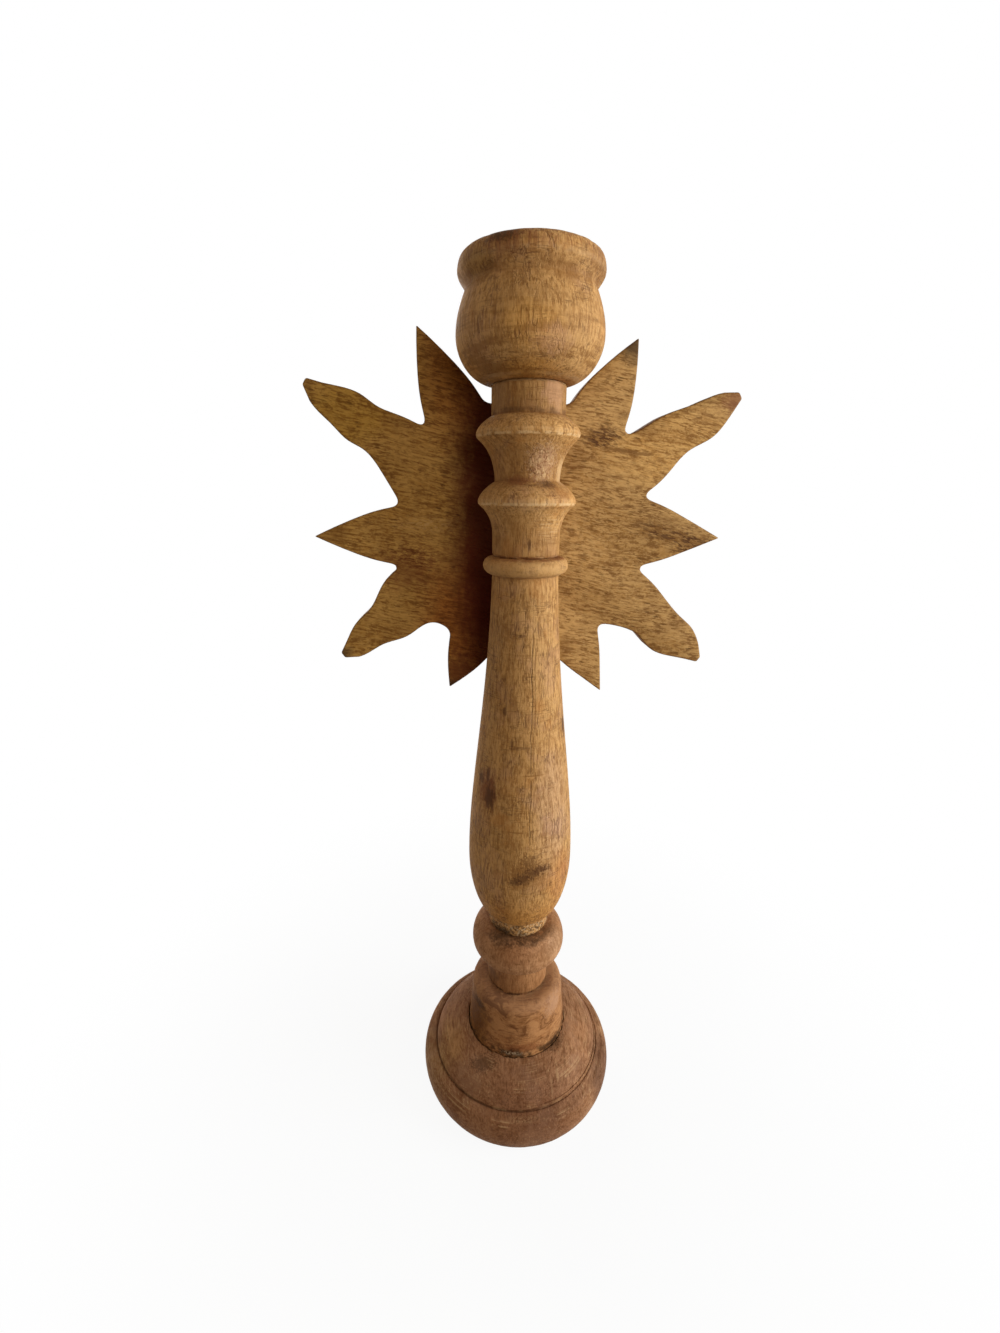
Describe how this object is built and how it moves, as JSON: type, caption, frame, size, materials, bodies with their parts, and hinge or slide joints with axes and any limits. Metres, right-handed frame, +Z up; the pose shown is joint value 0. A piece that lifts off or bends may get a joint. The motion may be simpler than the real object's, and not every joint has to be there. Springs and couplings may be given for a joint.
{
  "type": "candle stand",
  "caption": "Turned wooden candle stand with a cup, ringed stem and round base, a flat sun-shaped plate fixed behind the stem, and a lift-out metal pricket pan.",
  "frame": {"origin": "centre of the flat underside of the base, on the stem's axis", "axes": "+Z up the stem, +Y to the back, where the sun plate is, +X to the right seen from the front"},
  "size_m": [0.1889, 0.105, 0.3987],
  "materials": {
    "stem_wood": "oiled tan hardwood with vertical grain, small knots and lathe lines, worn",
    "base_wood": "oiled reddish hardwood, scuffed, with grime in the joints",
    "plate_wood": "oiled hardwood board with level grain and dark pores",
    "dowel_wood": "raw pale wood",
    "filler": "wood filler, sanded flush, dull pinkish brown",
    "zinc_steel": "zinc-plated steel",
    "black_iron": "blackened iron, rubbed bare at the edges"
  },
  "bodies": {
    "stand": {"base": "base_wood", "base_collar": "base_wood", "lower_bead": "base_wood", "vase_stem": "stem_wood", "upper_column": "stem_wood", "candle_cup": "stem_wood", "sun_plate": "plate_wood", "vase_dowel": "dowel_wood", "column_dowel": "dowel_wood", "cup_dowel": "dowel_wood", "sun_dowels": "dowel_wood", "base_plug": "dowel_wood", "screw_plug": "filler", "base_screw": "zinc_steel", "base_washer": "zinc_steel", "sun_screw": "zinc_steel"},
    "pricket_insert": {"pricket_pan": "black_iron", "pricket_spike": "black_iron", "spike_washer": "zinc_steel", "spike_nut": "zinc_steel"}
  },
  "joints": [
    {"name": "insert_lift", "type": "slide", "parent": "stand", "child": "pricket_insert", "axis": [0, 0, 1], "range_m": [0, 0.04]}
  ]
}
